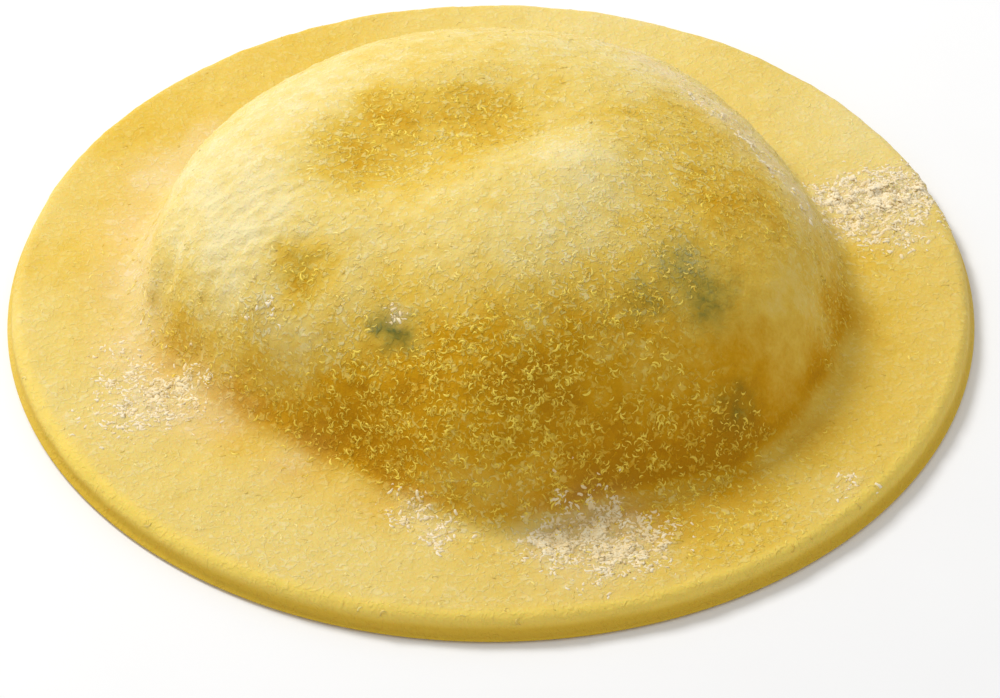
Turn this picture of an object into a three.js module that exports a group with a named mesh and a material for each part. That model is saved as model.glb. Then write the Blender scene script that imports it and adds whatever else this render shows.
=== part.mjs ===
// A round raviolo: two discs of fresh egg pasta pressed together over one mound of filling.
// The whole piece is a single body: a flat foot, a thin cut rim, and the filled dome.
// Frame: millimetres, +Z up, origin at the middle of the flat underside, -Y towards the viewer.

import * as THREE from "three";
import { mergeVertices } from "three/addons/utils/BufferGeometryUtils.js";

// ---------------------------------------------------------------- driving dimensions

const discRadius = 34; // where the cutter went through both sheets
const rimThickness = 1.9; // two sheets of pasta, pressed
const domeRadius = 24.2; // reach of the filling before the dough is pressed down round it
const domeHeight = 13.7; // of the dome above the rim
const domeFullness = 2.1; // 2 is an ellipse, more is flatter on top and steeper at the side
const filletSlope = 70; // degrees: below this steepness the dough leaves the filling
const filletReach = 1.3; // how far the dough bridges from the filling out onto the rim

const lipReach = 0.35; // the thin lip that the cutter leaves at the foot of the rim
const lipHeight = 0.45;
const edgeRounding = 0.9; // of the rim's upper edge
const footInset = 0.5; // the underside's edge stands clear of the table
const footLift = 0.12;

const turnSteps = 96; // facets round the disc
const domeSteps = 22; // facets from the top of the dome down to the fillet
const filletSteps = 5;
const rimSteps = 3;
const edgeSteps = 5;
const undersideSteps = 4;

// Where fingers and filling leave the round form. Each press takes the surface point nearest to
// (x, y), moves it, and takes its surroundings along less and less, out to its reach.
const presses = [
  { name: "front left flank flattened", x: -13, y: -15, reach: 16, move: [1.3, 1.8, -0.3] },
  { name: "left foot pressed in", x: -21.5, y: -13, reach: 13, move: [1.9, 1.5, 0] },
  { name: "front left foot pressed in", x: -11, y: -21, reach: 14, move: [1.2, 3.3, 0] },
  { name: "front right flank pressed in", x: 9, y: -20, reach: 12, move: [-0.3, 1.5, 0] },
  { name: "front right foot pressed in", x: 9, y: -24, reach: 10, move: [-0.3, 1.4, 0] },
  { name: "front shoulder raised", x: 1, y: -11, reach: 10, move: [0, -0.2, 0.7] },
  { name: "left hollow of the top", x: -6.5, y: 0, reach: 8.5, move: [0, 0, -1.5] },
  { name: "right hollow of the top", x: 1.5, y: 3.5, reach: 8, move: [0, 0, -1.3] },
  { name: "knob in front of the hollow", x: 5, y: -2.5, reach: 6.5, move: [0, 0, 0.5] },
  { name: "left front shoulder raised", x: -13, y: -9, reach: 8, move: [-0.3, -0.2, 0.7] },
  { name: "small hollow on the left front", x: -13.5, y: -9.5, reach: 5, move: [0.2, 0.2, -0.7] },
  { name: "left shoulder raised", x: -17, y: 4, reach: 12, move: [-0.3, 0.1, 0.5] },
  { name: "dough bunched along the left foot", x: -26, y: 2, reach: 6, move: [0, 0, 0.4] },
  { name: "right side pressed in", x: 20, y: 9, reach: 11, move: [-0.4, -0.2, -0.1] },
];

// ---------------------------------------------------------------- half section, axis to axis

const toRadians = Math.PI / 180;

// A point of the dome's rounded section: turn 90 degrees is the top and 0 the widest place.
function domePoint(turn) {
  const power = 2 / domeFullness;
  const radius = domeRadius * Math.cos(turn * toRadians) ** power;
  const height = domeHeight * Math.sin(turn * toRadians) ** power;
  return new THREE.Vector2(radius, rimThickness + height);
}

// The turn at which the section is as steep as the fillet's start.
function filletTurn() {
  let turn = 90;
  const step = 0.05;
  const steepest = Math.tan(filletSlope * toRadians);
  for (let slope = 0; slope < steepest; turn -= step) {
    const upper = domePoint(turn);
    const lower = domePoint(turn - step);
    slope = (upper.y - lower.y) / (lower.x - upper.x);
  }
  return turn;
}

function undersideSection() {
  const reach = discRadius - footInset;
  const points = [];
  for (let i = 0; i <= undersideSteps; i += 1) {
    points.push(new THREE.Vector2((reach * i) / undersideSteps, 0));
  }
  points.push(new THREE.Vector2(discRadius, footLift));
  return points;
}

// From the foot's lip up the cut wall and over the rounded upper edge.
function wallSection() {
  const wall = discRadius - lipReach;
  const points = [
    new THREE.Vector2(discRadius, lipHeight * 0.7),
    new THREE.Vector2(discRadius - lipReach, lipHeight),
  ];
  const centre = new THREE.Vector2(wall - edgeRounding, rimThickness - edgeRounding);
  for (let i = 0; i <= edgeSteps; i += 1) {
    const angle = (i / edgeSteps) * 90 * toRadians;
    points.push(
      new THREE.Vector2(
        centre.x + edgeRounding * Math.cos(angle),
        centre.y + edgeRounding * Math.sin(angle),
      ),
    );
  }
  return points;
}

// The dome from the fillet's start up to the axis, and the dough's bridge from it to the rim.
function domeSection() {
  const start = filletTurn();
  const flank = domePoint(start);
  const corner = new THREE.Vector2(
    flank.x + (flank.y - rimThickness) / Math.tan(filletSlope * toRadians),
    rimThickness,
  );
  const landing = new THREE.Vector2(corner.x + filletReach, rimThickness);
  const fillet = new THREE.QuadraticBezierCurve(landing, corner, flank);
  const points = fillet.getPoints(filletSteps);
  for (let i = 1; i <= domeSteps; i += 1) {
    points.push(domePoint(start + ((90 - start) * i) / domeSteps));
  }
  points[points.length - 1].x = 0;
  return points;
}

function rimSection(from, to) {
  const points = [];
  for (let i = 1; i < rimSteps; i += 1) {
    points.push(from.clone().lerp(to, i / rimSteps));
  }
  return points;
}

// ---------------------------------------------------------------- round blank and its presses

// Turns a section that starts and ends on the axis into one closed, indexed surface, +Z up.
function turned(section) {
  const lathe = new THREE.LatheGeometry(section, turnSteps).rotateX(Math.PI / 2);
  lathe.deleteAttribute("normal");
  lathe.deleteAttribute("uv");
  const merged = mergeVertices(lathe, 1e-4);
  const corners = merged.index.array;
  const faces = [];
  for (let i = 0; i < corners.length; i += 3) {
    const [a, b, c] = corners.subarray(i, i + 3);
    if (a !== b && b !== c && c !== a) {
      faces.push(a, b, c);
    }
  }
  merged.setIndex(faces);
  return merged;
}

const easeOff = (share) => share * share * (3 - 2 * share);

// The cut edge and the underside stay as the cutter and the table left them.
const heldRadius = discRadius - lipReach - edgeRounding - 0.1;

function isHeld(point) {
  const onEdge = Math.hypot(point.x, point.y) > heldRadius;
  return onEdge || point.z < rimThickness / 2;
}

function applyPress(points, { x, y, reach, move }) {
  const free = points.filter((point) => !isHeld(point));
  const inPlan = (point) => Math.hypot(point.x - x, point.y - y);
  const nearest = free.reduce((best, point) => (inPlan(point) < inPlan(best) ? point : best));
  const centre = nearest.clone();
  const shift = new THREE.Vector3(...move);
  for (const point of free) {
    const share = 1 - point.distanceTo(centre) / reach;
    if (share > 0) {
      point.addScaledVector(shift, easeOff(share));
    }
  }
}

function ravioloGeometry() {
  const wall = wallSection();
  const dome = domeSection();
  const rim = rimSection(wall[wall.length - 1], dome[0]);
  const geometry = turned([...undersideSection(), ...wall, ...rim, ...dome]);
  const position = geometry.getAttribute("position");
  const points = [];
  for (let i = 0; i < position.count; i += 1) {
    points.push(new THREE.Vector3().fromBufferAttribute(position, i));
  }
  for (const press of presses) {
    applyPress(points, press);
  }
  points.forEach((point, i) => position.setXYZ(i, point.x, point.y, point.z));
  geometry.computeVertexNormals();
  return geometry;
}

// ---------------------------------------------------------------- the part

const eggPasta = new THREE.MeshStandardMaterial({
  color: new THREE.Color(0.86, 0.68, 0.3),
  roughness: 0.6,
  metalness: 0,
});

const raviolo = new THREE.Mesh(ravioloGeometry(), eggPasta);
raviolo.name = "ravioli";

const part = new THREE.Group();
part.add(raviolo);

export default part;
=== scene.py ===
# %% [markdown]
# # A round raviolo
# The real thing is two discs of fresh egg pasta, pressed together over one mound of filling and cut
# out round. The cutter leaves a thin flat rim, the filling makes a dome, and the board leaves
# semolina and flour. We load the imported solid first, because it fixes the size and the place of
# everything that follows.

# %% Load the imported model
import math

import bmesh
import bpy
import numpy as np
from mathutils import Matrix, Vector, noise


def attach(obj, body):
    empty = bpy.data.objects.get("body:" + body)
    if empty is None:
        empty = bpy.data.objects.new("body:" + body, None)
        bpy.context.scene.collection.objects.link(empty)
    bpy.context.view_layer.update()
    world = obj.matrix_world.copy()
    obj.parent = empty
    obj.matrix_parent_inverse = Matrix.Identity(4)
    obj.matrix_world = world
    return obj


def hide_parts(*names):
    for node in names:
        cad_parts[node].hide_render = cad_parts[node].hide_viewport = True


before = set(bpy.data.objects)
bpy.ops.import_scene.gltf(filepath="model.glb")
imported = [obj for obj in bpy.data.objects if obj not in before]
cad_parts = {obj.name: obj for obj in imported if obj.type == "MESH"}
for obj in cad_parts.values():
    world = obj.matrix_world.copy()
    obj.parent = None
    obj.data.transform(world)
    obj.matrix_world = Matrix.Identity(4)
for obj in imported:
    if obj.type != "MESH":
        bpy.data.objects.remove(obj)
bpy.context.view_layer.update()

# %% [markdown]
# Blender works in metres, and pasta is measured in millimetres. One constant turns the one into the
# other. The sizes below are the dough's own, so the same numbers serve the rim, the dome and the
# dusting.

# %% Sizes of the piece
MM = 0.001
DISC_RADIUS = 34 * MM
RIM_THICKNESS = 1.9 * MM
DOME_RADIUS = 24.2 * MM
DOME_HEIGHT = 13.7 * MM
print("disc", DISC_RADIUS * 2 / MM, "mm wide, top at", (RIM_THICKNESS + DOME_HEIGHT) / MM, "mm")

# %% [markdown]
# ## Camera
# A long lens from a little under half a metre keeps the disc's ellipse nearly free of perspective, as
# in product pictures. The camera could be aimed with a constraint, but two numbers, how far up it
# stands and how far away, say the same and leave nothing live in the scene.

# %% Camera
CAMERA_RISE = math.radians(40.62)
CAMERA_DISTANCE = 450 * MM
CAMERA_TARGET = Vector((0.639, -3.889, 0)) * MM
LENS = 231.68  # in mm, behind a sensor 36 mm wide
NEAREST_SEEN = 10 * MM

bpy.ops.object.select_all(action="DESELECT")
step_back = Vector((0, -math.cos(CAMERA_RISE), math.sin(CAMERA_RISE)))
bpy.ops.object.camera_add(
    location=CAMERA_TARGET + CAMERA_DISTANCE * step_back,
    rotation=(math.pi / 2 - CAMERA_RISE, 0, 0),
)
camera = bpy.context.object
camera.name = "camera"
camera.data.lens = LENS
camera.data.sensor_width = 36
camera.data.clip_start = NEAREST_SEEN
bpy.context.scene.camera = camera
print("camera at", [round(value, 4) for value in camera.location])

# %% [markdown]
# ## The dough's half section
# Cut the raviolo through the middle and its outline runs from the foot up the cut wall, over the
# rounded edge, along the rim, up the bridge of dough and over the dome. A superellipse gives a dome
# that is flatter on top and steeper at the side than a ball, which is how a spoonful of filling sits
# under a sheet of pasta.

# %% Points of the dome
DOME_FULLNESS = 2.1  # 2 is an ellipse, more is fuller
FILLET_SLOPE = math.radians(70)


def dome_point(turn):
    """The dome's outline: a quarter turn is its top and 0 its widest place."""
    power = 2 / DOME_FULLNESS
    radius = DOME_RADIUS * max(math.cos(turn), 0) ** power
    return Vector((radius, RIM_THICKNESS + DOME_HEIGHT * math.sin(turn) ** power))


def fillet_turn():
    """How far down the dome the dough leaves the filling and bridges to the rim."""
    step = math.radians(0.05)
    turn = math.pi / 2
    slope = 0
    while slope < math.tan(FILLET_SLOPE):
        upper = dome_point(turn)
        lower = dome_point(turn - step)
        slope = (upper.y - lower.y) / (lower.x - upper.x)
        turn -= step
    return turn


print("the dough leaves the filling at", [round(v / MM, 2) for v in dome_point(fillet_turn())], "mm")

# %% The foot and the cut wall
LIP_REACH = 0.35 * MM
LIP_HEIGHT = 0.45 * MM
EDGE_ROUNDING = 0.9 * MM
FOOT_INSET = 0.5 * MM
FOOT_LIFT = 0.12 * MM
BEND_STEPS = 5


def wall_outline():
    """The foot, the lip that the cutter leaves and the rounded upper edge."""
    wall = DISC_RADIUS - LIP_REACH
    points = [
        Vector((DISC_RADIUS - FOOT_INSET, 0)),
        Vector((DISC_RADIUS, FOOT_LIFT)),
        Vector((DISC_RADIUS, LIP_HEIGHT * 0.7)),
        Vector((wall, LIP_HEIGHT)),
    ]
    centre = Vector((wall - EDGE_ROUNDING, RIM_THICKNESS - EDGE_ROUNDING))
    for i in range(BEND_STEPS + 1):
        angle = i / BEND_STEPS * math.pi / 2
        points.append(centre + EDGE_ROUNDING * Vector((math.cos(angle), math.sin(angle))))
    return points


print(len(wall_outline()), "points up the wall")

# %% The whole half section
FILLET_REACH = 1.3 * MM
CAP_RADIUS = 6 * MM
RIM_STEPS = 5
DOME_STEPS = 22


def bridge_outline(start):
    """The curve by which the dough comes down from the filling and lands on the rim, outside first."""
    flank = dome_point(start)
    bridge = (flank.y - RIM_THICKNESS) / math.tan(FILLET_SLOPE)
    corner = Vector((flank.x + bridge, RIM_THICKNESS))
    landing = corner + Vector((FILLET_REACH, 0))
    shares = [i / BEND_STEPS for i in range(BEND_STEPS + 1)]
    return [landing * (1 - t) ** 2 + corner * 2 * t * (1 - t) + flank * t * t for t in shares]


def dough_outline():
    """From the foot to the edge of the cap on the dome."""
    points = wall_outline()
    start = fillet_turn()
    bridge = bridge_outline(start)
    edge = points[-1]
    points += [edge.lerp(bridge[0], i / RIM_STEPS) for i in range(1, RIM_STEPS)]
    points += bridge
    climb = (math.pi / 2 - start) / DOME_STEPS
    while points[-1].x >= CAP_RADIUS:
        start += climb
        points.append(dome_point(start))
    return points


outline = dough_outline()
print(len(outline), "points from the foot to the cap")

# %% [markdown]
# ## A round blank
# A spin or a screw modifier would turn the outline in one go, but both leave a pole of thin triangles
# on top, and a pole shows as a star as soon as light grazes it. So a ring of edges is extruded from
# point to point, and the last ring is closed by a grid of even faces.

# %% Raise the blank ring by ring
TURN_STEPS = 128

bpy.ops.object.select_all(action="DESELECT")
bpy.ops.mesh.primitive_circle_add(vertices=TURN_STEPS, radius=outline[0].x, location=(0, 0, 0))
dough = bpy.context.object
dough.name = "dough"
bpy.ops.object.mode_set(mode="EDIT")
for lower, upper in zip(outline, outline[1:]):
    widen = upper.x / lower.x
    bpy.ops.mesh.extrude_edges_move(TRANSFORM_OT_translate={"value": (0, 0, upper.y - lower.y)})
    bpy.ops.transform.resize(value=(widen, widen, 1), center_override=(0, 0, 0))
bpy.ops.mesh.fill_grid(span=TURN_STEPS // 4)
print("rings raised:", len(outline) - 1)

# %% Round the cap
def cap_height(radius):
    share = (radius / DOME_RADIUS) ** DOME_FULLNESS
    return RIM_THICKNESS + DOME_HEIGHT * (1 - share) ** (1 / DOME_FULLNESS)


shape = bmesh.from_edit_mesh(dough.data)
cap = [vert for vert in shape.verts if vert.select]
for vert in cap:
    vert.co.z = cap_height(math.hypot(vert.co.x, vert.co.y))
bmesh.update_edit_mesh(dough.data)
print("points on the cap:", len(cap))

# %% Close the underside
# It is flat and lies on the table, so one ring and one many-sided face inside it are enough.
INNER_RING = 0.6  # of the foot's radius

bpy.ops.mesh.select_all(action="DESELECT")
shape = bmesh.from_edit_mesh(dough.data)
for edge in shape.edges:
    edge.select_set(all(abs(vert.co.z) < 0.0001 * MM for vert in edge.verts))
bmesh.update_edit_mesh(dough.data)
bpy.ops.mesh.extrude_edges_move(TRANSFORM_OT_translate={"value": (0, 0, 0)})
bpy.ops.transform.resize(value=(INNER_RING, INNER_RING, 1), center_override=(0, 0, 0))
bpy.ops.mesh.edge_face_add()
bpy.ops.mesh.select_all(action="SELECT")
bpy.ops.mesh.normals_make_consistent(inside=False)
print("blank closed with", len(bmesh.from_edit_mesh(dough.data).faces), "faces")

# %% [markdown]
# ## Fingers and filling
# No raviolo stays round: thumbs press the dough against the filling, and the filling gives. Sculpt
# brushes would do this by hand. Proportional editing does the same from a list that can be read and
# changed: one point moves, and its surroundings follow less and less out to a reach. The cut wall and
# the underside are hidden first, because a hidden point doesn't move.

# %% The presses, in millimetres
PRESSES = [
    # x, y, reach, move
    (-13, -15, 16, (1.3, 1.8, -0.3)),  # front left flank flattened
    (-21.5, -13, 13, (1.9, 1.5, 0)),  # left foot pressed in
    (-11, -21, 14, (1.2, 3.3, 0)),  # front left foot pressed in
    (9, -20, 12, (-0.3, 1.5, 0)),  # front right flank pressed in
    (9, -24, 10, (-0.3, 1.4, 0)),  # front right foot pressed in
    (1, -11, 10, (0, -0.2, 0.7)),  # front shoulder raised
    (-6.5, 0, 8.5, (0, 0, -1.5)),  # left hollow of the top
    (1.5, 3.5, 8, (0, 0, -1.3)),  # right hollow of the top
    (5, -2.5, 6.5, (0, 0, 0.5)),  # knob in front of the hollow
    (-13, -9, 8, (-0.3, -0.2, 0.7)),  # left front shoulder raised
    (-13.5, -9.5, 5, (0.2, 0.2, -0.7)),  # small hollow on the left front
    (-17, 4, 12, (-0.3, 0.1, 0.5)),  # left shoulder raised
    (-26, 2, 6, (0, 0, 0.4)),  # dough bunched along the left foot
    (20, 9, 11, (-0.4, -0.2, -0.1)),  # right side pressed in
]
print("presses listed:", len(PRESSES))

# %% Press the blank
HELD_RADIUS = DISC_RADIUS - LIP_REACH - EDGE_ROUNDING - 0.1 * MM


def is_held(place):
    return math.hypot(place.x, place.y) > HELD_RADIUS or place.z < RIM_THICKNESS / 2


def apply_press(mesh_object, x, y, reach, move):
    shape = bmesh.from_edit_mesh(mesh_object.data)
    bpy.ops.mesh.select_all(action="DESELECT")
    free = [vert for vert in shape.verts if not vert.hide]
    nearest = min(free, key=lambda vert: math.hypot(vert.co.x - x * MM, vert.co.y - y * MM))
    nearest.select_set(True)
    bmesh.update_edit_mesh(mesh_object.data)
    bpy.ops.transform.translate(
        value=[part * MM for part in move],
        use_proportional_edit=True,
        proportional_edit_falloff="SMOOTH",
        proportional_size=reach * MM,
    )


bpy.ops.mesh.select_mode(type="VERT")
bpy.ops.mesh.select_all(action="DESELECT")
shape = bmesh.from_edit_mesh(dough.data)
for vert in shape.verts:
    vert.select_set(is_held(vert.co))
bmesh.update_edit_mesh(dough.data)
bpy.ops.mesh.hide()
for press in PRESSES:
    apply_press(dough, *press)
bpy.ops.mesh.reveal()
bpy.ops.object.mode_set(mode="OBJECT")
print("highest point of the dough:", round(max(vert.co.z for vert in dough.data.vertices) / MM, 2), "mm")

# %% [markdown]
# Extruding numbers the faces in an order that changes from one run to the next. The dusting further
# down draws faces at random by their numbers, so it would fall differently each time. The points do
# keep their numbers, so faces that are listed by their points make every run the same.

# %% Number the faces in a lasting order
def number_faces(mesh):
    """Lists the faces by their points, and each face from its lowest point number on."""
    faces = []
    for face in mesh.polygons:
        corners = list(face.vertices)
        first = corners.index(min(corners))
        faces.append(corners[first:] + corners[:first])
    places = [vert.co.copy() for vert in mesh.vertices]
    mesh.clear_geometry()
    mesh.from_pydata(places, [], sorted(faces))


number_faces(dough.data)
print("faces numbered:", len(dough.data.polygons))

# %% [markdown]
# ## A smooth skin
# Subdivision rounds the facets away and leaves a point every third of a millimetre. That is fine
# enough to carry real unevenness and soft patches, so both can be put on the mesh itself instead of
# in a picture.

# %% Subdivide
def add_modifier(mesh_object, kind, name, **settings):
    """Adds a modifier and applies it at once."""
    modifier = mesh_object.modifiers.new(name, kind)
    for key, value in settings.items():
        setattr(modifier, key, value)
    bpy.context.view_layer.objects.active = mesh_object
    bpy.ops.object.modifier_apply(modifier=name)


bpy.ops.object.select_all(action="DESELECT")
dough.select_set(True)
add_modifier(dough, "SUBSURF", "smooth skin", levels=2, render_levels=2)
bpy.ops.object.shade_smooth()
print("dough has", sum(len(face.vertices) - 2 for face in dough.data.polygons), "triangles")

# %% [markdown]
# ## Where the dough is rich, dry, floured or green
# Egg pasta isn't one yellow. Where it lies thick and dry it is cream, where the filling stretches it
# thin and moist it turns amber, and flour and herbs add places of their own. These could be painted
# by hand. A list of soft hills, each with a place, a reach and a height in millimetres, does the same
# and can be read and changed. Noise pushes the places about first, so that no patch ends in a circle.

# %% Soft hills on the skin
RIM_TOP = RIM_THICKNESS / MM


def on_rim(places):
    """Hills on the rim are listed without their z, which is always the rim's top."""
    return [(x, y, RIM_TOP, reach, height) for x, y, reach, height in places]


def hills(places, points):
    total = np.zeros(len(points))
    for x, y, z, reach, height in places:
        distance = np.linalg.norm(points - (x, y, z), axis=1)
        total += height * np.exp(-(distance / reach) ** 2)
    return total


def smooth_step(values, low, high):
    share = np.clip((values - low) / (high - low), 0, 1)
    return share * share * (3 - 2 * share)


print("a hill of height 1 is", hills([(0, 0, 0, 1, 1)], np.array([(1, 0, 0)])).round(2), "at its reach")

# %% Points of the skin, and points pushed about
NOISE_SEED = 5  # without a seed, noise_vector starts at another place in every run


def read_rows(items, key, width):
    """One property of all points or faces of a mesh, a row for each."""
    values = np.empty(len(items) * width)
    items.foreach_get(key, values)
    return values.reshape(-1, width)


def wander(points, size, strength, start):
    """The points pushed about by noise that is size mm wide."""
    offset = Vector((start, start, start))
    pushes = [noise.noise_vector(Vector(point) / size + offset) for point in points]
    return points + strength * np.array(pushes)


noise.seed_set(NOISE_SEED)
points = read_rows(dough.data.vertices, "co", 3) / MM
broad_points = wander(points, size=2.6, strength=1.1, start=3)
fine_points = wander(points, size=0.9, strength=0.9, start=7)
print("points on the skin:", len(points))

# %% [markdown]
# ## Cream and amber
# The dome is cream on top and amber down its front, where the moist filling lies close behind the
# dough, and the rim is a plain yellow in between. That is a formula. The places below are what a
# formula can't know: where a hollow holds moisture and where a thumb dried the dough. Others are
# painted shade and painted light: amber painted along the foot and on the right rim where the dome
# shades it, and paler spots that lighten the dome's shadow at its front and right foot. A height
# above 0 is richer, and one below 0 is paler.

# %% Rich and pale places on the rim, and painted shade along the dome's foot
RIM_TONES_AND_SHADE = on_rim([
    # x, y, reach, height
    # left
    (-28, 5, 7, 0.17), (-25, 16.5, 8, 0.2), (-26, -18, 7, -0.08), (-31, 9, 4, -0.18),
    (-32.5, -3, 4, -0.14), (-31, -12, 4, -0.14), (-29, 14, 3, -0.12), (-21.6, 15.9, 2.2, -0.1),
    (-23.2, 12.2, 2.4, -0.22),
    # back
    (-14, 28, 6, 0.12), (27, 19, 7, -0.22), (8, 31, 9, -0.2),
    # right: richer where painted shade stands for the dome's shadow on the rim
    (28, -7, 5, 0.1), (27, 1, 5, 0.07), (25.6, 3.5, 2.2, 0.16), (25.5, -4, 3, 0.12),
    (27, -14, 3.5, 0.08),
    # front
    (-14, -26, 9, -0.12), (-6, -29, 6, -0.06), (17, -25, 6, 0.17), (23, -18.5, 6, 0.1),
    (22.4, -22.5, 4, -0.12), (12.5, -25, 2.5, 0.12),
])
FOOT_SHADE = on_rim([
    # painted shade, from the left foot along the front to the right foot
    (-17, -14, 3, 0.3), (-12.5, -18.5, 2.6, 0.3), (-7, -22, 2.6, 0.3), (-1, -25.8, 2.4, 0.15),
    (5, -24, 2.8, 0.35), (11, -22.3, 3, 0.4), (16.5, -19.5, 2.8, 0.35), (21.5, -15, 2.6, 0.3),
    (24, -9.5, 2.6, 0.2), (24.5, -3, 2.6, 0.2),
])
print("places on the rim:", len(RIM_TONES_AND_SHADE), "and at the foot:", len(FOOT_SHADE))

# %% Rich and pale places on the dome, with painted shade and painted light at its foot
DOME_TONES_AND_SHADING = [
    # x, y, z, reach, height
    # left shoulder and flank
    (-18.5, 2, 11, 6.5, -0.3), (-13, 10, 12, 6, -0.2), (-17, -4.5, 11.5, 4.5, -0.28),
    (-22.5, 6, 8, 4, -0.14), (-13, -8.8, 11.7, 2, 0.12), (-17, -11.5, 6, 3.5, 0.15),
    (-17, -13.5, 6, 3.5, 0.12), (-14, -10.3, 10.2, 2, 0.15), (-21.9, -5.2, 5.7, 2, -0.12),
    (-17, 2.2, 12.6, 4, 0.1), (-14, -12.6, 7.8, 3.5, -0.28), (-16.7, -10.2, 8.2, 3, -0.12),
    (-13, -9.8, 11.3, 2.2, 0.18), (-20, -6.8, 7.4, 2.8, -0.16), (-20.7, -6.2, 6.8, 2.4, 0.12),
    (-15.6, -11, 8.6, 2.2, 0.12), (-12.2, -9.1, 12.1, 2.4, 0.2), (-14, -8.8, 11.2, 1.6, 0.1),
    # left foot
    (-21, -7.5, 5, 4, 0.3), (-12, -15.3, 5, 3.5, 0.1), (-19.3, -9.3, 4.2, 2.4, -0.1),
    (-21.9, -7.5, 2.7, 2.4, 0.22), (-19.3, -11, 2.4, 2.2, 0.18),
    # right shoulder and flank
    (12.3, 5.6, 13.4, 3.5, 0.18), (17.5, 0, 11.6, 5, 0.22), (20, -4, 9.5, 4.5, 0.15),
    (14.3, -3.5, 13, 3.5, 0.16), (13.5, -11, 11.5, 4, -0.16), (21, -7.5, 7.5, 4.5, -0.32),
    (20, -12, 6, 3, -0.1), (17.9, -3.5, 11.2, 4, 0.12),
    # right foot: paler, painted light that lightens the shade there
    (22.9, -7, 4, 2.5, -0.12), (20.2, -13, 4.1, 2.4, -0.15),
    # top
    (-2, 13.5, 13.6, 6, -0.04), (8, 12, 13, 5, -0.16), (-7.4, 4.5, 14.3, 3.2, 0.45),
    (-0.8, 5.6, 14.4, 2.8, 0.3), (-9.5, -0.5, 13.7, 3, 0.36), (-11.5, 2.5, 13.7, 2, 0.1),
    (3, 3, 14, 4, 0.08), (5.4, -0.9, 15.5, 3.2, -0.28), (-3, -8, 15, 5, -0.06), (9, 2, 14, 3, 0.1),
    (9, -7, 14, 3, 0.1), (-4, 9.6, 14.4, 5, 0.07), (5.5, 10.1, 14.1, 3, 0.15), (-1, 1.8, 14.2, 3, 0.26),
    (-9.3, -8.8, 13.4, 2.5, -0.1), (-4.6, -2, 14.2, 3, 0.16), (3, 4.5, 14.4, 3.5, 0.05),
    (6.5, -6.2, 14.9, 4.5, -0.14),
    # front
    (4, -15, 12.5, 5, -0.14), (4.5, -19, 9.5, 3, 0.16), (-1, -21.5, 8, 3.5, -0.14),
    (9, -19.5, 9.8, 3.5, -0.14), (-7.5, -10, 14, 3, 0.08), (9, -9.5, 13.8, 3.5, 0.06),
    (5.5, -11, 14.3, 3.5, -0.08), (-4.3, -17.8, 10, 3, 0.12), (4.2, -10.8, 14.7, 3.2, -0.08),
    (12, -16.8, 8.4, 3.4, -0.22), (0.5, -19.5, 9.8, 3, 0.2), (6, -13.9, 12.9, 3, 0.1),
    # front foot: richer along the crease as painted shade, and paler where painted light lightens the
    # dome's shadow
    (10.5, -19, 5, 5, 0.2), (-8, -17.5, 5, 3, 0.12), (-0.7, -24, 3, 2.6, -0.18),
    (-11, -17, 6.5, 3.5, 0.12), (11.4, -19.7, 3.5, 2.4, -0.14), (-2.4, -22, 5.3, 3, -0.12),
    (3.6, -23.2, 3.3, 2.5, -0.28), (-4.4, -22.5, 2.8, 2, -0.14), (11.4, -21.6, 1.9, 2.4, -0.14),
]
print("places on the dome:", len(DOME_TONES_AND_SHADING))

# %% How rich the dough is
RIM_RICHNESS = 0.45
TOP_RICHNESS = 0.4
FRONT_GAIN = 0.62


def richness(points, on_dome):
    """0 is dry cream, 1 is moist amber. The dome grows richer down its front. Some listed places are
    painted shade or painted light instead.
    """
    x, y, z = points.T
    down_front = 0.25 * x - 0.9 * y + 0.5 * (14 - z)
    dome = TOP_RICHNESS + FRONT_GAIN * smooth_step(down_front, 6.5, 20.5)
    plain = RIM_RICHNESS * (1 - on_dome) + dome * on_dome
    return plain + hills(RIM_TONES_AND_SHADE + FOOT_SHADE + DOME_TONES_AND_SHADING, points)


on_dome = smooth_step(points[:, 2], 1.85, 3)
rich = np.clip(richness(broad_points, on_dome), -0.1, 1.25)
print("richness runs from", round(rich.min(), 2), "to", round(rich.max(), 2))

# %% [markdown]
# ## Flour, dry crust, herbs and grit
# Flour lies in two ways. In a few drifts it is thick enough to be crumbs, and along the foot and over
# the back right edge of the dome it is only a film. Where the left shoulder has dried, the dough is a
# crust. Bits of herb from the filling show green through the skin, and semolina sticks where the
# dough is moist.

# %% Drifts of flour, and a painted glint on a herb
FLOUR_AND_GLINT_PLACES = on_rim([
    # x, y, reach, height
    # in front of the tip
    (7.4, -24.6, 2.3, 1), (4, -26, 1.7, 0.8), (10.2, -26.4, 2.1, 0.8), (7.3, -28.5, 2.3, 0.35),
    # beside the tip
    (-3.4, -24.8, 1.2, 0.4), (-3.7, -26.1, 0.9, 0.5),
    # left
    (-21.4, -10.9, 2.2, 0.6), (-24.7, -12.5, 2.6, 0.4), (-25.5, -8, 2.2, 0.3),
    # right
    (27.8, 10.3, 2.7, 1), (30.4, 11.5, 2, 0.8), (25, 10.5, 1.9, 0.8), (29, 6.5, 2, 0.5),
    (25.5, 7, 1.8, 0.4), (24.4, -20.3, 1.2, 0.3),
]) + [
    # higher up: x, y, z, reach, height. The small drift on the herb at (-6.4, -14) is a painted
    # highlight: whitish crumbs and film that stand for a glint
    (8.5, -22.6, 2.2, 1.4, 0.15), (-5.4, -22.9, 2, 1.5, 0.5), (-6.4, -14, 11.6, 0.65, 0.8),
    (14.4, 9.7, 11.6, 0.9, 0.4), (16.2, 8.1, 11.1, 0.9, 0.5), (18, 6.3, 10.4, 0.9, 0.5),
    (19.7, 4.4, 9.6, 0.9, 0.5), (21, 2.9, 8.6, 0.8, 0.4), (22.1, 1.8, 7.5, 0.8, 0.3),
    (-15.4, -10.7, 9.2, 1.2, 0.3),
]
print("places with crumbs of flour:", len(FLOUR_AND_GLINT_PLACES))

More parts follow.
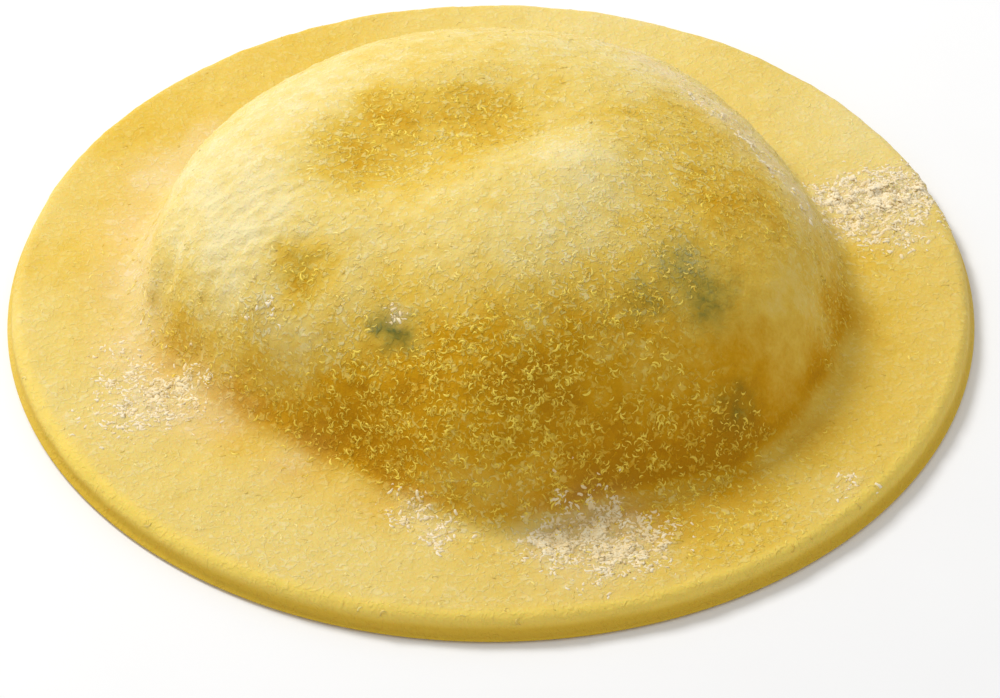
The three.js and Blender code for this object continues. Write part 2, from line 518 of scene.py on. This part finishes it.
# %% Films of flour
HAZE_PLACES = on_rim([
    (-21.4, -10.9, 3, 0.45), (-18.5, -13.7, 2.3, 0.8), (-13.6, -18.2, 2.2, 0.6), (-23, -12.5, 3, 0.3),
    (-8, -22, 2, 0.2), (-24, 12.8, 2.6, 0.8), (-24, -8.4, 1.8, 0.5), (-20.3, 18, 1.8, 0.45),
    (5, -28, 3.5, 0.25), (7.4, -25.2, 3, 0.3), (-21, 16.9, 1.7, 0.4), (-22, 15.1, 1.7, 0.4),
]) + [
    (-24.8, -5, 2, 2.6, 0.75), (-25, 1, 2.4, 2.8, 0.9), (-25.3, 7, 2, 2.8, 0.9),
    (-23.6, -2, 4.5, 1.8, 0.4), (-24, 4, 4, 1.8, 0.4),
]
POWDER_EDGE = [
    # x, y, z along the upper edge of the dome, from the back round to the right
    (8.6, 18.9, 9.2), (10.6, 15.4, 10.4), (12.5, 13.3, 10.6), (14.4, 11.6, 10.2), (16.2, 10, 9.7),
    (18, 8.2, 8.9), (19.7, 6.3, 8.2), (21.1, 4.8, 7.2), (22.2, 3.7, 6.2),
]
POWDER_FADE = (0.8, 0.9, 1, 1, 1, 1, 1, 1, 0.8)
POWDER_ROWS = [
    # move up the dome, reach, height
    ((0, 0, 0), 1.3, 1),
    ((0, -1.5, 1.3), 1.1, 0.76),
    ((-0.5, -3.5, 2.2), 0.9, 0.3),
]
POWDER_LINE = [
    (*np.add(place, move), reach, height * fade)
    for move, reach, height in POWDER_ROWS
    for place, fade in zip(POWDER_EDGE, POWDER_FADE)
]
print("places with a film of flour:", len(HAZE_PLACES) + len(POWDER_LINE))

# %% Dry, green and gritty places
DRY_PLACES = [
    (-16.2, -3.5, 12.3, 4, 1), (-13.7, -6.9, 12.4, 3, 0.7), (-18.3, -1.5, 11.5, 4, 0.6),
    (-18.5, 4, 11, 5, 0.5), (-19, -7, 8.5, 3.5, 0.5), (5.4, -0.9, 15.5, 3, 0.4),
]
HERB_PLACES = [
    (-6.4, -15, 11, 1.3, 0.75), (-7.4, -14.2, 11.2, 1.1, 0.4), (-5.8, -15.5, 10.8, 0.8, 0.3),
    (14.5, -12.1, 10.7, 1.6, 0.6), (12.9, -10, 12.3, 2, 0.45), (10.6, -12.8, 11.9, 1.4, 0.5),
    (15.7, -10.3, 10.8, 1.8, 0.35), (13.2, -8.6, 12.6, 1.5, 0.25), (16.8, -16.2, 5.3, 1.5, 0.6),
    (-16, -10.6, 8.9, 1.3, 0.14), (-13, -9.1, 11.5, 1.6, 0.26),
]
GRIT_PLACES = [
    (-7.7, 1.3, 13.7, 4, 0.7), (-1.4, -21, 8.4, 5, 0.7), (-0.7, -23, 6, 4, 0.6),
    (6.7, -12.4, 13.5, 4.5, 0.5), (-16.1, -10.7, 8.5, 2, 1), (-9.9, -14.5, 9, 2.5, 0.5),
    (13.5, -19.5, 3, 4, 0.7), (12.7, -1.5, 13.7, 5, 0.5), (2, -19, 10.2, 5, 0.4), (-5, -16, 10, 4, 0.4),
    (12.5, -8.5, 12.5, 2, 0.6), (10.5, -12.5, 12, 1.5, 0.5), (-0.8, 4, 14, 4, 0.3),
    (4, -26, 1.9, 6, 0.35), (14, -24, 1.9, 5, 0.3), (25, 4, 1.9, 5, 0.3), (-14, -28, 1.9, 8, 0.16),
    (-27, -14, 1.9, 6, 0.14), (21, -22, 1.9, 6, 0.22), (16, -27, 1.9, 3, 0.2),
]
BARE_PLACES = [
    (-6.3, -15, 11, 1.6, 0.9), (19.1, -9.1, 8.9, 5, 0.9), (19.5, -12, 5, 4, 0.9), (16, -13, 9, 3, 0.6),
    (8, -19, 10, 2.5, 0.5),
]
print("herbs:", len(HERB_PLACES), "places, grit:", len(GRIT_PLACES), "and kept bare:", len(BARE_PLACES))

# %% Lay the layers on the dough
def lay_on_points(mesh, name, values):
    """Keeps a number for each point, which a finish can read by its name."""
    layer = mesh.attributes.new(name, "FLOAT", "POINT")
    layer.data.foreach_set("value", values.astype(np.float32))


moist = np.clip(rich, 0, 1)
grit = 0.28 + on_dome * (0.05 + 0.4 * moist) + hills(GRIT_PLACES, broad_points)
grit = np.clip(grit * (1 - hills(BARE_PLACES, broad_points)), 0, 1)
crumbs_and_glint = np.clip(hills(FLOUR_AND_GLINT_PLACES, fine_points), 0, 1)
flour_cover = np.clip(crumbs_and_glint + hills(HAZE_PLACES + POWDER_LINE, fine_points), 0, 1)
dryness = np.clip(hills(DRY_PLACES, broad_points), 0, 1)
greenness = np.clip(hills(HERB_PLACES, fine_points), 0, 1)
from_middle = np.linalg.norm(points[:, :2], axis=1)
# Painted highlight: the front half of the rounded edge is laid a lighter yellow, where light catches it.
edge_highlight = smooth_step(from_middle, 32.2, 33.2) * smooth_step(points[:, 1], 5, -20)
LAYERS = {
    "rich": rich, "gritty": grit, "crumbly": crumbs_and_glint, "floured": flour_cover,
    "dry": dryness, "green": greenness, "cut": edge_highlight,
}
for name, values in LAYERS.items():
    lay_on_points(dough.data, name, values)
    print(name, "has a mean of", round(float(values.mean()), 3))

# %% [markdown]
# ## Real unevenness
# Rolled dough is never quite even. Cloud textures move the skin itself, with soft lumps a few
# millimetres wide all over, a cracked crust where it is dry, and crumbs where flour lies. At the far
# left the dough was laid in a shallow fold with a crease beside it. A bump in the material could fake
# all this, but it would vanish at the outline, where the eye looks first. Vertex groups keep each to
# its place, and the underside stays flat.

# %% Where each kind of unevenness acts
FOLD_LINE = [
    (-22.2, 1.5, 7.9), (-22.5, 0.6, 7.6), (-22.7, -0.4, 7.2), (-22.9, -1.3, 6.6), (-23.1, -2, 6),
    (-23.3, -2.6, 5.2), (-23.4, -3.1, 4.4),
]
CREASE_LINE = [
    (-21.3, -0.1, 9.1), (-21.6, -1.1, 8.7), (-21.7, -2, 8.3), (-22, -2.8, 7.7), (-22.2, -3.5, 7),
    (-22.4, -4.1, 6.3),
]


def line_weights(line, reach):
    return np.clip(hills([(*place, reach, 0.7) for place in line], points), 0, 1)


def weight_group(mesh_object, name, weights):
    group = mesh_object.vertex_groups.new(name=name)
    for index in np.flatnonzero(weights > 0.01):
        group.add([int(index)], float(weights[index]), "REPLACE")


above_foot = np.clip((points[:, 2] - 0.3) / 1.5, 0, 1)
weight_group(dough, "skin", above_foot)
weight_group(dough, "dry", dryness * above_foot)
weight_group(dough, "floured", crumbs_and_glint * above_foot)
weight_group(dough, "fold", line_weights(FOLD_LINE, reach=0.8))
weight_group(dough, "crease", line_weights(CREASE_LINE, reach=0.55))
print("vertex groups:", [group.name for group in dough.vertex_groups])

# %% Roughen the skin
ROUGHNESS = [
    # name, size and height in mm, depth, vertex group
    ("soft lumps", 4.5, 0.25, 1, "skin"),
    ("fine pits", 1.1, 0.16, 2, "skin"),
    ("dry crust", 0.95, 0.42, 1, "dry"),
    ("crumbs", 0.85, 0.9, 1, "floured"),
]
FOLDS = {"fold": 0.5, "crease": -0.4}  # heights in mm


def clouds(name, size, depth):
    texture = bpy.data.textures.new(name, "CLOUDS")
    texture.noise_scale = size
    texture.noise_depth = depth
    return texture


for name, size, height, depth, group in ROUGHNESS:
    add_modifier(
        dough, "DISPLACE", name,
        texture=clouds(name, size * MM, depth), texture_coords="LOCAL",
        strength=height * MM, mid_level=0.5, vertex_group=group,
    )
for name, height in FOLDS.items():
    add_modifier(dough, "DISPLACE", name, strength=height * MM, mid_level=0, vertex_group=name)
dough.vertex_groups.clear()
print("skin roughened in", len(ROUGHNESS), "sizes and folded at the left")

# %% [markdown]
# ## Semolina and flour, grain by grain
# Semolina and rubbed-off flour lie on the piece as little bent crumbs, half a millimetre long. A
# particle system would scatter them, but particles and instances are lost when a model is exported.
# So a few grains are modelled from a three-sided face that is drawn out in four steps while it
# turns, and all grains of a kind are joined into one mesh by arrays. Faces of the dough are drawn
# at random, larger ones more often, and a density that knows the drifts decides how many grains each
# place gets.

# %% Faces that can carry a grain
LOWEST_GRAIN = 1.5  # in mm above the table, so that the cut wall stays clean

faces = dough.data.polygons
face_centres = read_rows(faces, "center", 3) / MM
face_normals = read_rows(faces, "normal", 3)
face_areas = read_rows(faces, "area", 1).ravel()
face_areas[face_centres[:, 2] < LOWEST_GRAIN] = 0
face_corners = np.array([face.vertices[:] for face in faces])
print("area that can be dusted:", round(face_areas.sum() / MM ** 2), "mm2")

# %% How densely each kind lies
GATHERING_SIZE = 0.8  # in mm, of the clusters that grains form
SPARSEST = 0.12


def on_faces(values):
    return values[face_corners].mean(axis=1)


face_richness = on_faces(rich)
gathering = np.array([noise.noise(Vector(centre) / GATHERING_SIZE) for centre in face_centres])
gathering = SPARSEST + smooth_step(gathering, -0.2, 0.45)
semolina_density = np.clip(on_faces(grit) - 0.25, 0, 1) * (0.1 + on_faces(moist)) * gathering
flour_density = on_faces(crumbs_and_glint) ** 1.5 * gathering
print("drifts of semolina:", len(GRIT_PLACES), "and of flour:", len(FLOUR_AND_GLINT_PLACES))

# %% One bent grain
GRAIN_WIDENINGS = (1.6, 1, 1, 0.6)  # a slice widens, runs on twice and narrows again
SLICE_RADIUS = 0.35


def bent_grain(bend, thickness):
    """A grain about 1 long, drawn out along z while it turns by bend in all, thinner at both ends."""
    bpy.ops.object.select_all(action="DESELECT")
    bpy.ops.mesh.primitive_circle_add(
        vertices=3, radius=SLICE_RADIUS * thickness, fill_type="NGON", location=(0, 0, 0)
    )
    seed = bpy.context.object
    bpy.ops.object.mode_set(mode="EDIT")
    steps = len(GRAIN_WIDENINGS)
    place = Vector((0, 0, 0))
    for step, widen in enumerate(GRAIN_WIDENINGS):
        lean = bend * ((step + 0.5) / steps - 0.5)
        move = Vector((math.sin(lean), 0, math.cos(lean))) / steps
        place += move
        bpy.ops.mesh.extrude_region_move(TRANSFORM_OT_translate={"value": move})
        bpy.ops.transform.resize(value=(widen, widen, widen), center_override=place)
    bpy.ops.object.mode_set(mode="OBJECT")
    number_faces(seed.data)
    seed.data.calc_loop_triangles()
    corners = np.array([(vert.co.z, vert.co.x, vert.co.y) for vert in seed.data.vertices])
    triangles = np.array([triangle.vertices for triangle in seed.data.loop_triangles])
    bpy.data.objects.remove(seed)
    return corners - corners.mean(axis=0), triangles


print("a grain is drawn out in", len(GRAIN_WIDENINGS), "steps")

# %% Ten grains of one kind
GRAIN_SHAPES = 10


def grain_shapes(draw, bends, thicknesses, unevenness):
    """A few grains, each bent, thick and uneven in its own way."""
    shapes = []
    for _ in range(GRAIN_SHAPES):
        corners, triangles = bent_grain(draw.uniform(*bends), draw.uniform(*thicknesses))
        shapes.append(corners * draw.uniform(1 - unevenness, 1 + unevenness, (len(corners), 1)))
    return np.array(shapes), triangles


print("shapes to copy from:", GRAIN_SHAPES, "for each kind")

# %% A place and a direction on the skin for each grain
def frames_on_skin(draw, chosen):
    """For each chosen face: two directions along the skin, turned at random, and the normal."""
    normals = face_normals[chosen]
    across = np.cross(normals, draw.normal(size=normals.shape))
    across /= np.linalg.norm(across, axis=1, keepdims=True)
    return np.stack([across, np.cross(normals, across), normals], axis=1)


def places_on_skin(draw, chosen, axes):
    """For each chosen face: a place near its middle, drawn along both directions of the skin."""
    spread = np.sqrt(face_areas[chosen]) / MM / 2
    places = face_centres[chosen]
    for axis in (0, 1):
        places = places + axes[:, axis] * (draw.uniform(-1, 1, len(chosen)) * spread)[:, None]
    return places


print("faces that can carry a grain:", np.count_nonzero(face_areas))

# %% One mesh from many grains
def join_grains(name, corners, triangles, layers):
    """One object from all grains' corners in mm, with a number of each layer for each grain."""
    count, size = corners.shape[:2]
    indices = triangles[None] + np.arange(count)[:, None, None] * size
    mesh = bpy.data.meshes.new(name)
    mesh.from_pydata((corners.reshape(-1, 3) * MM).tolist(), [], indices.reshape(-1, 3).tolist())
    for layer_name, values in layers.items():
        lay_on_points(mesh, layer_name, np.repeat(values, size))
    mesh.shade_smooth()
    piece = bpy.data.objects.new(name, mesh)
    bpy.context.scene.collection.objects.link(piece)
    print(name, "has", count, "grains and", len(mesh.polygons), "triangles")
    return piece


def scatter(name, seed, count, density, shapes, length, flatness, sink):
    """Lays count grains on the dough. Length is a range in mm, flatness and sink are shares."""
    draw = np.random.default_rng(seed)
    weight = face_areas * density
    chosen = draw.choice(len(face_centres), count, p=weight / weight.sum())
    corner_sets, triangles = grain_shapes(draw, **shapes)
    lengths = draw.uniform(*length, count) * draw.uniform(0.7, 1, count)
    sizes = np.stack([lengths, lengths, lengths * draw.uniform(*flatness, count)], axis=1)
    axes = frames_on_skin(draw, chosen)
    centres = places_on_skin(draw, chosen, axes) + axes[:, 2] * (sizes[:, 2] * sink)[:, None]
    picks = corner_sets[draw.integers(0, len(corner_sets), count)]
    corners = np.einsum("nvk,nkd->nvd", picks * sizes[:, None, :], axes) + centres[:, None, :]
    tones = draw.uniform(0, 1, count)
    return join_grains(name, corners, triangles, {"tone": tones, "rich": face_richness[chosen]})


# %% Scatter both kinds
semolina = scatter(
    "semolina_grains", seed=11, count=7200, density=semolina_density,
    shapes={"bends": (1.2, 3.6), "thicknesses": (0.3, 0.5), "unevenness": 0.08},
    length=(0.28, 0.75), flatness=(0.25, 0.5), sink=-0.05,
)
flour = scatter(
    "flour_crumbs", seed=23, count=4200, density=flour_density,
    shapes={"bends": (0.3, 3), "thicknesses": (0.6, 1.1), "unevenness": 0.2},
    length=(0.2, 0.6), flatness=(0.22, 0.45), sink=-0.1,
)
print("grains take", len(semolina.data.polygons) + len(flour.data.polygons), "triangles in all")

# %% [markdown]
# ## Writing finishes as sums
# A node tree is a drawing of a formula. It could be drawn node by node, but a formula is shorter to
# read. The small class below wraps one socket, and each plus, minus or times on it adds the Math node
# that does the sum.

# %% Sums on sockets
class Amount:
    """A number that changes over a surface. Its sums add Math nodes to its finish."""

    def __init__(self, finish, socket):
        self.finish = finish
        self.socket = socket

    def _sum(self, operation, first, second):
        node = self.finish.add("ShaderNodeMath", {"operation": operation}, {0: first, 1: second})
        return Amount(self.finish, node.outputs[0])

    def __add__(self, other):
        return self._sum("ADD", self, other)

    __radd__ = __add__

    def __mul__(self, other):
        return self._sum("MULTIPLY", self, other)

    __rmul__ = __mul__

    def __sub__(self, other):
        return self._sum("SUBTRACT", self, other)

    def __rsub__(self, other):
        return self._sum("SUBTRACT", other, self)


print("amounts can be added, taken away and multiplied")

# %% A material and the method that adds its nodes
class Nodes:
    """A material's nodes, all of them added by one method."""

    def __init__(self, name):
        self.material = bpy.data.materials.new(name)
        self.material.use_nodes = True
        self.nodes = self.material.node_tree.nodes
        self.shader = self.nodes["Principled BSDF"]
        place = self.add("ShaderNodeTexCoord", {}, {}).outputs["Object"]
        in_mm = self.add("ShaderNodeVectorMath", {"operation": "SCALE"}, {0: place, "Scale": 1 / MM})
        self.place = in_mm.outputs[0]

    def add(self, kind, settings, sockets):
        node = self.nodes.new(kind)
        for key, value in settings.items():
            if key == "stops":
                self.set_stops(node.color_ramp, value)
            else:
                setattr(node, key, value)
        for key, value in sockets.items():
            self.feed(node.inputs[key], value)
        return node

    def set_stops(self, ramp, stops):
        while len(ramp.elements) < len(stops):
            ramp.elements.new(0.5)
        for element, (position, colour) in zip(ramp.elements, stops):
            element.position = position
            element.color = colour

    def feed(self, socket, value):
        source = value.socket if isinstance(value, Amount) else value
        if isinstance(source, bpy.types.NodeSocket):
            self.material.node_tree.links.new(source, socket)
        else:
            socket.default_value = source

    def surface(self, sockets):
        """Sets or links what the surface is made of."""
        for key, value in sockets.items():
            self.feed(self.shader.inputs[key], value)


print("a material can add, feed and surface its nodes")

# %% A finish and its patterns
class Finish(Nodes):
    """A material with the patterns that dough, flour and floor are made from."""

    def amount(self, node, output=0):
        return Amount(self, node.outputs[output])

    def layer(self, name):
        """A number that was laid on the mesh's points."""
        return self.amount(self.add("ShaderNodeAttribute", {"attribute_name": name}, {}), "Fac")

    def noise(self, size, detail=2, roughness=0.5, twist=0):
        """Cloudy noise from 0 to 1, drawn out into curls by twist. Size is in mm."""
        sockets = {"Vector": self.place, "Scale": 1 / size, "Detail": detail, "Roughness": roughness}
        sockets["Distortion"] = twist
        return self.amount(self.add("ShaderNodeTexNoise", {}, sockets))

    def soft_step(self, amount, low, high):
        """0 at low, 1 at high, and an even curve between. High may be the smaller."""
        settings = {"interpolation_type": "SMOOTHSTEP"}
        sockets = {"Value": amount, "From Min": low, "From Max": high}
        return self.amount(self.add("ShaderNodeMapRange", settings, sockets))

    def mix(self, share, first, second):
        settings = {"data_type": "RGBA", "blend_type": "MIX"}
        node = self.add("ShaderNodeMix", settings, {0: share, 6: first, 7: second})
        return node.outputs[2]


dough_finish = Finish("egg pasta")
print("a new finish starts with the nodes", [node.name for node in dough_finish.nodes])

# %% [markdown]
# ## The dough's colour
# A colour ramp turns richness into colour, from cream over yellow and gold to amber, and noise makes
# the dough mottled in between. One ramp is simpler than a mix for every patch, and it gives the same
# order of tones everywhere, because all of them are the same egg dough with more or less moisture.

# %% Patterns in the dough
rich_layer = dough_finish.layer("rich")
flour_layer = dough_finish.layer("floured")
grit_layer = dough_finish.layer("gritty")
place_parts = dough_finish.add("ShaderNodeSeparateXYZ", {}, {0: dough_finish.place})
above_table = dough_finish.amount(place_parts, "Z")
mottle = dough_finish.noise(1.9, 3, 0.6) - 0.5
nap = dough_finish.noise(0.28, 3, 0.65)
speckle = dough_finish.noise(0.44, 2, 0.5, twist=0.9)
curls = dough_finish.soft_step(speckle, 0.5, 0.66)
print("patterns need", len(dough_finish.nodes), "nodes")

# %% From cream to amber
CREAM = (0.87, 0.745, 0.38, 1)
YELLOW = (0.82, 0.63, 0.19, 1)
GOLD = (0.77, 0.515, 0.07, 1)
AMBER = (0.65, 0.335, 0.006, 1)
DEEP_AMBER = (0.51, 0.24, 0.004, 1)

# The rim was rolled and is even, and the dome is more mottled. Grit is pale curls on richer dough.
mottling = (0.2 + 0.5 * dough_finish.soft_step(above_table, 2.2, 4)) * mottle
grit_tint = grit_layer * (0.08 - 0.42 * curls)
richness_here = 0.8 * (rich_layer + mottling + 0.3 * (nap - 0.5) + grit_tint)
ramp = dough_finish.add(
    "ShaderNodeValToRGB",
    {"stops": [(0, CREAM), (0.28, YELLOW), (0.52, GOLD), (0.8, AMBER), (1, DEEP_AMBER)]},
    {0: richness_here},
)
print("ramp has", len(ramp.color_ramp.elements), "tones")

# %% Herbs, flour, a painted highlight on the cut edge and painted shade low on the wall
HERB = (0.05, 0.10, 0.02, 1)
FILM = (0.88, 0.72, 0.46, 1)
EDGE_HIGHLIGHT = (0.92, 0.68, 0.13, 1)
WALL_AND_SHADE = (0.69, 0.44, 0.04, 1)

colour = dough_finish.mix(dough_finish.layer("green") * (0.3 + speckle), ramp.outputs["Color"], HERB)
film = flour_layer * (0.6 + 0.4 * curls) * (1.15 - 0.8 * rich_layer)
colour = dough_finish.mix(film, colour, FILM)
edge_highlight_layer = dough_finish.layer("cut")
# The lighter yellow on the front of the rounded edge is a painted highlight.
colour = dough_finish.mix(edge_highlight_layer * 0.9, colour, EDGE_HIGHLIGHT)
# The cut wall has a deeper amber of its own. Laid heavier toward the table and most at the front, it is
# also painted shade at the foot.
low_wall_and_shade = dough_finish.soft_step(above_table, 1.6, 0.8)
colour = dough_finish.mix(low_wall_and_shade * (0.3 + 0.6 * edge_highlight_layer), colour, WALL_AND_SHADE)
print("dough colours are mixed")

# %% [markdown]
# ## The dough's touch
# Fresh pasta is nearly matt, and flour makes it drier still, so roughness rises with the flour. Bump
# carries only what is too fine for the mesh, the nap of the dough and the dust. A little light passes
# into the skin and comes out warmer, and that amount is the same all over, so it is set on the shader
# itself.

# %% Roughness, bump and depth of the dough
nap_relief = nap * (0.04 + 0.08 * dough_finish.layer("dry"))
crumb_relief = speckle * (0.08 + 0.2 * dough_finish.layer("crumbly"))
relief = nap_relief + crumb_relief + curls * grit_layer * 0.05
bump = dough_finish.add("ShaderNodeBump", {}, {"Height": relief, "Distance": MM, "Strength": 0.9})
dough_finish.surface({
    "Base Color": colour,
    "Normal": bump.outputs[0],
    "Roughness": 0.52 + 0.3 * flour_layer,
    "Specular IOR Level": 0.05,
    "Subsurface Weight": 0.18,
    "Subsurface Radius": (1.0, 0.55, 0.12),
    "Subsurface Scale": 1.2 * MM,
})
dough.data.materials.clear()
dough.data.materials.append(dough_finish.material)
print("dough finish done with", len(dough_finish.nodes), "nodes")

# %% [markdown]
# ## Grit and dust
# Each grain carries a number of its own, drawn when it was scattered, and the finish turns that
# number into a tone. Without it thousands of grains would share one colour and read as plastic.

# %% Finish of the grains
def grain_finish(name, dry_tones, moist_tones, roughness, gleam):
    """Grains on moist dough take up some of its colour, so there are two pairs of tones."""
    finish = Finish(name)
    veins = finish.noise(0.12, 2, 0.6)
    shade = finish.soft_step(finish.layer("tone"), 0.3, 0.8) * 0.8 + veins * 0.25
    moisture = finish.soft_step(finish.layer("rich"), 0.1, 0.75)
    colour = finish.mix(moisture, finish.mix(shade, *dry_tones), finish.mix(shade, *moist_tones))
    grit = finish.add("ShaderNodeBump", {}, {"Height": veins * 0.02, "Distance": MM, "Strength": 0.6})
    finish.surface({
        "Base Color": colour,
        "Normal": grit.outputs[0],
        "Roughness": roughness + 0.2 * veins,
        "Specular IOR Level": gleam,
        "Specular Tint": (1, 0.85, 0.45, 1),
    })
    return finish.material


semolina.data.materials.append(grain_finish(
    "semolina",
    dry_tones=((0.90, 0.73, 0.25, 1), (0.95, 0.82, 0.38, 1)),
    moist_tones=((0.66, 0.39, 0.01, 1), (0.99, 0.76, 0.1, 1)),
    roughness=0.28, gleam=0.6,
))
flour.data.materials.append(grain_finish(
    "flour",
    dry_tones=((0.93, 0.79, 0.54, 1), (0.97, 0.88, 0.69, 1)),
    moist_tones=((0.93, 0.73, 0.38, 1), (0.97, 0.85, 0.56, 1)),
    roughness=0.75, gleam=0.15,
))
print("grains finished")

# %% [markdown]
# ## Floor and light
# A pale floor and one soft light from behind on the left model the dome from its back left shoulder
# to its amber front. A bare sky of even white fills the shadows, as a light tent does.

# %% Floor
bpy.ops.object.select_all(action="DESELECT")
bpy.ops.mesh.primitive_plane_add(size=4, location=(0, 0, 0))
floor = bpy.context.object
floor.name = "floor"
floor_finish = Finish("pale floor")
floor_tone = floor_finish.mix(floor_finish.noise(8, 3), (0.95, 0.95, 0.95, 1), (0.97, 0.97, 0.97, 1))
floor_finish.surface({"Base Color": floor_tone, "Roughness": 0.7})
floor.data.materials.append(floor_finish.material)
print("floor is", floor.dimensions.x, "m wide")

# %% Lights
def soft_light(name, turn, rise, distance, size, power):
    """An area light that looks at the piece. Turn is clockwise from straight behind, in degrees."""
    turn, rise = math.radians(turn), math.radians(rise)
    towards = Vector((math.sin(turn) * math.cos(rise), math.cos(turn) * math.cos(rise), math.sin(rise)))
    bpy.ops.object.light_add(type="AREA", location=towards * distance)
    light = bpy.context.object
    light.name = name
    light.data.size = size
    light.data.energy = power
    light.rotation_euler = (-towards).to_track_quat("-Z", "Y").to_euler()
    return light


key = soft_light("key", turn=-45, rise=47, distance=0.45, size=0.13, power=1.36)
sky = bpy.data.worlds.new("sky")
sky.use_nodes = True
background = sky.node_tree.nodes["Background"]
background.inputs["Color"].default_value = (1, 1, 1, 1)
background.inputs["Strength"].default_value = 0.57
bpy.context.scene.world = sky
bpy.context.scene.view_settings.view_transform = "Standard"
print("key light at", [round(value, 3) for value in key.location])

# %% [markdown]
# ## The pieces and the plain solid
# Each piece says which body it moves with, and the dough takes the place of the plain solid, which is
# hidden.

# %% Pieces and their body
for piece, slot in ((dough, "egg_pasta"), (semolina, "semolina"), (flour, "flour")):
    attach(piece, "root")
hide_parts("ravioli")
